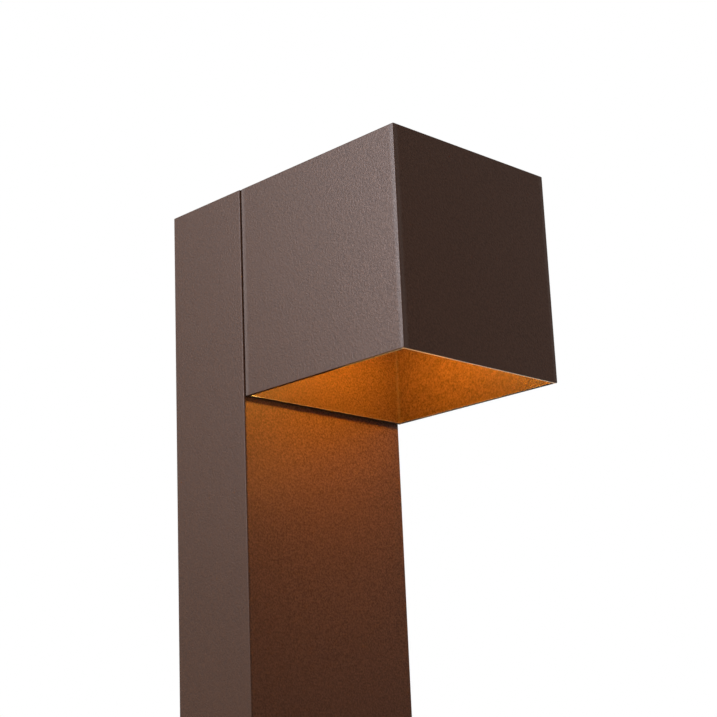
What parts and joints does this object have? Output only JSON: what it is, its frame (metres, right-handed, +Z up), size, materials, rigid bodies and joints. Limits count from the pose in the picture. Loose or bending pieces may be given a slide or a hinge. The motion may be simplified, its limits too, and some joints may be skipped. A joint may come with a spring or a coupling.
{
  "type": "bollard light",
  "caption": "Outdoor bollard light: a hollow square shade on the front of a flat post throws warm light down; the post lifts off a bolted foot that holds the wiring.",
  "frame": {"origin": "centre of the post's footprint on the ground, on the underside of the base plate", "axes": "+Z up along the post, -Y towards the shade head's front, +X to the right of someone facing the head"},
  "size_m": [0.17, 0.2108, 0.7],
  "materials": {
    "bronze_paint": "dark bronze textured powder coat",
    "bare_aluminium": "satin, as extruded or milled",
    "zinc_steel": "zinc plated",
    "stainless": "stainless, satin",
    "brass": "plain",
    "black_rubber": "moulded, matt",
    "grey_pad": "soft gap filler",
    "grey_plastic": "moulded, fine texture",
    "black_plastic": "moulded, fine texture",
    "white_plastic": "moulded",
    "board_green": "solder mask",
    "board_white": "white solder mask on aluminium",
    "chip_yellow": "phosphor gel",
    "ferrite": "ferrite core in tape",
    "can_blue": "sleeved aluminium can",
    "cord_sheath": "flexible sheath",
    "reflector_silver": "metallised",
    "frosted_glass": "satin etched"
  },
  "bodies": {
    "foot": {"base_plate": "bronze_paint", "cable_grommet": "black_rubber", "post_seal": "black_rubber", "spigot": "bare_aluminium", "spigot_screws": "stainless", "gear_tray": "zinc_steel", "tray_screws": "stainless", "earth_screw": "brass", "junction_box": "grey_plastic", "box_screws": "stainless", "inlet_gland": "black_plastic", "outlet_gland": "black_plastic", "terminal_block": "white_plastic", "terminal_screws": "stainless", "junction_lid": "grey_plastic", "lid_screws": "stainless", "driver_case": "white_plastic", "driver_screws": "stainless", "driver_lid": "white_plastic", "driver_board": "board_green", "driver_transformer": "ferrite", "driver_capacitors": "can_blue", "driver_bushings": "black_rubber", "lead_socket": "black_plastic", "socket_screws": "stainless", "socket_pins": "brass", "driver_input_flex": "cord_sheath", "driver_output_flex": "cord_sheath"},
    "column": {"post": "bronze_paint", "thread_strips": "zinc_steel", "set_screws": "stainless", "top_cap": "bronze_paint", "cap_seal": "black_rubber", "head_gasket": "black_rubber", "head_shell": "bronze_paint", "backing_plate": "zinc_steel", "nut_plate": "zinc_steel", "head_washers": "stainless", "head_bolts": "stainless", "wire_grommet": "black_rubber", "heat_sink": "bare_aluminium", "sink_screws": "stainless", "thermal_pad": "grey_pad", "led_board": "board_white", "led_chip": "chip_yellow", "led_holder": "white_plastic", "holder_screws": "stainless", "reflector": "reflector_silver", "lens": "frosted_glass", "lens_seal": "black_rubber", "lens_frame": "bronze_paint", "frame_screws": "stainless", "led_lead": "cord_sheath", "lead_plug": "black_plastic", "cable_clips": "black_plastic"}
  },
  "joints": [
    {"name": "post_lift", "type": "slide", "parent": "foot", "child": "column", "axis": [0, 0, 1], "range_m": [0, 0.335]}
  ]
}
